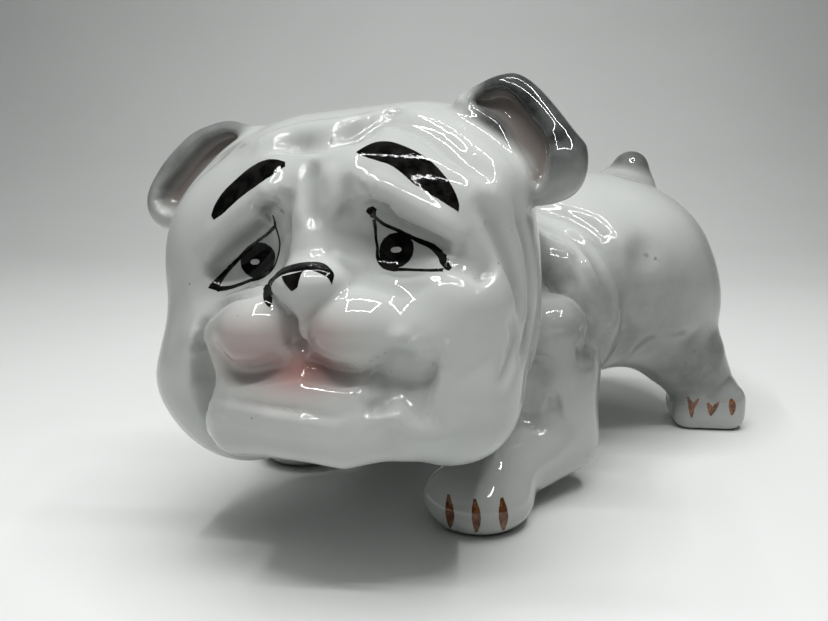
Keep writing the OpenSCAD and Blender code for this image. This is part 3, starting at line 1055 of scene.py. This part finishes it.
def rectangle_of_light(name, at, rotation, sides, power, colour=(1, 1, 1), glossy=True):
    data = bpy.data.lights.new(name, "AREA")
    data.shape = "RECTANGLE"
    data.size, data.size_y = sides
    data.energy = power
    data.color = colour
    obj = bpy.data.objects.new(name, data)
    obj.location = at
    obj.rotation_euler = rotation.to_euler()
    obj.visible_glossy = glossy
    obj.visible_camera = False
    bpy.context.scene.collection.objects.link(obj)


def aim(at, towards):
    """The rotation that points a lamp from one place to another."""
    return (Vector(towards) - Vector(at)).to_track_quat("-Z", "Y")


def soft_light(name, at, towards, sides, power):
    """A broad lamp that lights the glaze without showing in it."""
    cool = (0.98, 1.0, 0.99)
    rectangle_of_light(name, at, aim(at, towards), sides, power, cool, glossy=False)


def ring_of_light(centre, towards, sides, bar, power):
    """A thin rectangular frame of light: four bars round an open middle."""
    rotation = aim(centre, towards)
    w, h = sides
    bars = ((0, h / 2, w, bar), (0, -h / 2, w, bar), (w / 2, 0, bar, h), (-w / 2, 0, bar, h))
    for i, (x, y, long, tall) in enumerate(bars):
        at = Vector(centre) + rotation @ Vector((x, y, 0))
        rectangle_of_light("bar_%d" % i, at, rotation, (long, tall), power * (long + tall) / (w + h))


def floor_and_sweep():
    """A pale floor that curves up into a wall behind the figure, as the camera sees it."""
    near, run, radius, rise = 1.6, 0.35, 0.45, 1.0
    bend = near + run + radius * math.pi / 2
    across = np.linspace(-1.6, 1.6, 9)
    profile = []
    for s in np.linspace(0, 1, 41) * (bend + rise):
        if s < near + run:
            profile.append((s - near, 0.0))
        elif s < bend:
            a = (s - near - run) / radius
            profile.append((run + radius * math.sin(a), radius * (1 - math.cos(a))))
        else:
            profile.append((run + radius, radius + s - bend))
    ahead, right = heading()
    points = [(ahead[0] * d + right[0] * x, ahead[1] * d + right[1] * x, z - 0.00005)
              for d, z in profile for x in across]
    n = len(across)
    faces = np.array([(r * n + c, r * n + c + 1, (r + 1) * n + c + 1, (r + 1) * n + c)
                      for r in range(len(profile) - 1) for c in range(n - 1)])
    obj = mesh_object("floor", np.array(points) / MM, faces)
    made, tree, shader = blank("floor_card")
    tone = mixed(tree, remap(tree, noise(tree, 6, 3), 0.3, 0.7, 0, 1), (0.78, 0.79, 0.78), (0.82, 0.83, 0.82))
    tree.links.new(tone, shader.inputs["Base Color"])
    shader.inputs["Roughness"].default_value = 0.6
    obj.data.materials.append(made)


def studio():
    scene = bpy.context.scene
    scene.view_settings.view_transform = "Standard"
    world = bpy.data.worlds.new("studio")
    world.use_nodes = True
    surround = world.node_tree.nodes["Background"]
    surround.inputs["Color"].default_value = (0.80, 0.83, 0.82, 1)
    surround.inputs["Strength"].default_value = 0.02
    scene.world = world
    target = tuple((BODY + [0, 0, 30]) * MM)
    soft_light("overhead", (0.03, -0.16, 0.56), target, (0.55, 0.55), 0.75)
    soft_light("front", (0.24, -0.30, 0.45), (0.06, -0.13, 0.0), (0.35, 0.35), 0.35)
    soft_light("backdrop", (-0.20, 0.25, 0.45), (-0.38, 0.40, 0.0), (0.4, 0.4), 0.66)
    ring_of_light((0.06, -0.08, 0.5), target, (0.35, 0.26), 0.006, 1.25)


def camera():
    data = bpy.data.cameras.new("camera")
    data.sensor_width = 36.0
    data.lens = 41.304
    data.clip_start = 0.01
    data.clip_end = 20
    obj = bpy.data.objects.new("camera", data)
    dip = math.radians(CAMERA_DIP)
    level = heading()[0]
    ahead = Vector((level[0] * math.cos(dip), level[1] * math.cos(dip), -math.sin(dip)))
    obj.location = (BODY + [173.09, -206.71, 95.9]) * MM
    obj.rotation_euler = ahead.to_track_quat("-Z", "Y").to_euler()
    bpy.context.scene.collection.objects.link(obj)
    bpy.context.scene.camera = obj


def main():
    camera()
    glaze = porcelain()
    black = enamel("black_enamel_paint", (0.016, 0.015, 0.014), (0.002, 0.002, 0.002), 300, 1.38)
    white = enamel("white_enamel_paint", (0.5, 0.5, 0.49), (0.68, 0.68, 0.66), 500)
    brown = enamel("brown_enamel_paint", (0.30, 0.12, 0.045), (0.09, 0.030, 0.012), 650)
    make_castings(glaze)
    make_marks(black, white)
    make_claws(brown)
    floor_and_sweep()
    studio()


main()
